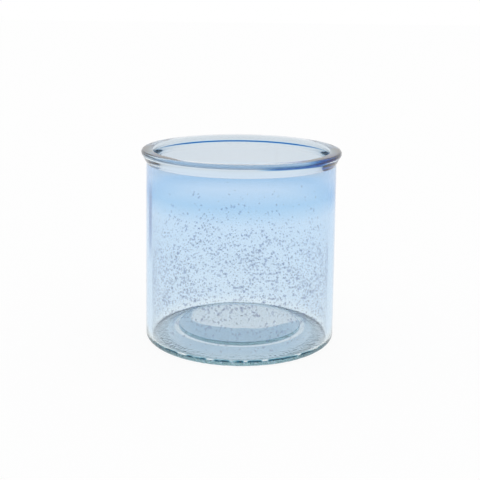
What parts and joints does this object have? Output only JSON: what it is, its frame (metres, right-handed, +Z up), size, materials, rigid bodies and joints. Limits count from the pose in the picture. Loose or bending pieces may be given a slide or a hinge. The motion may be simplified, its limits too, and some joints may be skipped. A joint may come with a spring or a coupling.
{
  "type": "glass jar lantern",
  "caption": "Straight-sided round glass jar lantern with a flared rounded lip, a pushed-up base and a tinted, silver-flecked coat inside; holds a tealight or a small candle.",
  "frame": {"origin": "centre of the plane that the base ring stands on", "axes": "+Z up along the jar's axis of revolution; X and Y are equal, the jar being round"},
  "size_m": [0.1026, 0.1026, 0.1003],
  "materials": {
    "clear_glass": "fire-polished, clear with a faint green cast",
    "blue_lacquer": "translucent sprayed lacquer, deeper towards the rim",
    "broken_silvering": "grey-blue flecks of broken silvering"
  },
  "bodies": {
    "root": {"glass_vessel": "clear_glass", "tint_coat": "blue_lacquer", "silver_flecks": "broken_silvering"}
  },
  "joints": []
}
